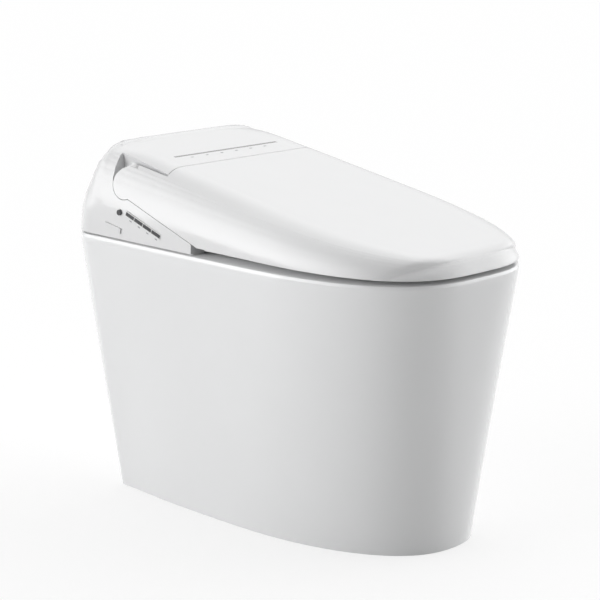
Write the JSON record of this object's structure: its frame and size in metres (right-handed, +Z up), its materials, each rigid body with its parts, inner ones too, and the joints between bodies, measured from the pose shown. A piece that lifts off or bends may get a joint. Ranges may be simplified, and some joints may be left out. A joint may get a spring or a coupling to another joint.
{
  "type": "smart toilet with heated seat",
  "caption": "Skirted one-piece toilet with a rear electronics housing, heated seat, sloping lid on side ears, side keys and a retracting wash nozzle.",
  "frame": {"origin": "on the floor, under the middle of the outer box", "axes": "+Z up, -Y towards the nose of the bowl, +Y towards the wall, -X the side with the manual keys"},
  "size_m": [0.3885, 0.69, 0.5619],
  "materials": {
    "vitreous_china": "glossy glaze",
    "white_gloss": "gloss",
    "white_matte": "fine matt",
    "grey_plastic": "moulded",
    "black_rubber": "matt",
    "grey_rubber": "matt",
    "steel": "brushed",
    "brass": "turned",
    "smoked_lens": "smoked gloss",
    "board": "solder mask",
    "dark_gloss": "gloss",
    "foil": "foil",
    "chrome_tip": "polished"
  },
  "bodies": {
    "pan": {"ceramic_skirt": "vitreous_china", "ceramic_bowl": "vitreous_china", "trapway_pipe": "grey_plastic", "trap_seal": "black_rubber", "outlet_flange": "grey_plastic", "base_tray": "white_matte", "rear_cover": "white_gloss", "hinge_pin_left": "steel", "hinge_pin_right": "steel", "hinge_damper_left": "grey_plastic", "hinge_damper_right": "grey_plastic", "display_lens": "smoked_lens", "display_board": "board", "key_bezel": "dark_gloss", "key_carrier": "grey_plastic", "nozzle_guide": "grey_plastic", "nozzle_saddle": "grey_plastic", "nozzle_motor": "steel", "water_heater": "grey_plastic", "supply_pipe": "steel", "water_inlet": "brass", "inlet_valve": "brass", "blower_housing": "grey_plastic", "power_supply": "grey_plastic", "main_board": "board", "cord_gland": "black_rubber", "mount_bolt_left": "steel", "mount_bolt_right": "steel"},
    "seat": {"seat_shell": "white_gloss", "seat_base": "white_matte", "seat_heater": "foil", "seat_bumper_1": "grey_rubber", "seat_bumper_2": "grey_rubber", "seat_bumper_3": "grey_rubber", "seat_bumper_4": "grey_rubber"},
    "lid": {"lid_shell": "white_gloss", "lid_liner": "white_matte", "lid_bumper_1": "grey_rubber", "lid_bumper_2": "grey_rubber", "lid_bumper_3": "grey_rubber", "lid_bumper_4": "grey_rubber"},
    "key_1": {"side_key_1": "dark_gloss"},
    "key_2": {"side_key_2": "dark_gloss"},
    "key_3": {"side_key_3": "dark_gloss"},
    "key_4": {"side_key_4": "dark_gloss"},
    "power": {"power_button": "dark_gloss"},
    "tab": {"release_tab": "white_gloss"},
    "wand": {"nozzle_wand": "white_matte", "nozzle_tip": "chrome_tip"},
    "pinion": {"nozzle_pinion": "grey_plastic"},
    "fan": {"blower_impeller": "grey_plastic"}
  },
  "joints": [
    {"name": "seat_hinge", "type": "hinge", "parent": "pan", "child": "seat", "pos_m": [0, 0.216, 0.511], "axis": [1, 0, 0], "range_deg": [-95, 0]},
    {"name": "lid_hinge", "type": "hinge", "parent": "seat", "child": "lid", "pos_m": [0, 0.216, 0.511], "axis": [-1, 0, 0], "range_deg": [0, 102]},
    {"name": "key_press_1", "type": "slide", "parent": "pan", "child": "key_1", "axis": [1, 0, 0], "range_m": [0, 0.001], "stiffness_N_per_m": 800, "springref_m": -0.0005},
    {"name": "key_press_2", "type": "slide", "parent": "pan", "child": "key_2", "axis": [1, 0, 0], "range_m": [0, 0.001], "stiffness_N_per_m": 800, "springref_m": -0.0005},
    {"name": "key_press_3", "type": "slide", "parent": "pan", "child": "key_3", "axis": [1, 0, 0], "range_m": [0, 0.001], "stiffness_N_per_m": 800, "springref_m": -0.0005},
    {"name": "key_press_4", "type": "slide", "parent": "pan", "child": "key_4", "axis": [1, 0, 0], "range_m": [0, 0.001], "stiffness_N_per_m": 800, "springref_m": -0.0005},
    {"name": "power_press", "type": "slide", "parent": "pan", "child": "power", "axis": [1, 0, 0], "range_m": [0, 0.001], "stiffness_N_per_m": 800, "springref_m": -0.0005},
    {"name": "tab_press", "type": "slide", "parent": "pan", "child": "tab", "axis": [1, 0, 0], "range_m": [0, 0.002], "stiffness_N_per_m": 800, "springref_m": -0.0005},
    {"name": "nozzle_slide", "type": "slide", "parent": "pan", "child": "wand", "axis": [0, -0.9703, -0.2419], "range_m": [0, 0.09]},
    {"name": "pinion_spin", "type": "hinge", "parent": "pan", "child": "pinion", "pos_m": [0, 0.17968, 0.44414], "axis": [1, 0, 0], "range_deg": [-745, 0]},
    {"name": "fan_spin", "type": "hinge", "parent": "pan", "child": "fan", "pos_m": [0.106, 0.202, 0.43], "axis": [0, 0, 1], "continuous": true}
  ],
  "couplings": [
    {"joint": "pinion_spin", "follows": "nozzle_slide", "rad_per_m": -142.86}
  ]
}
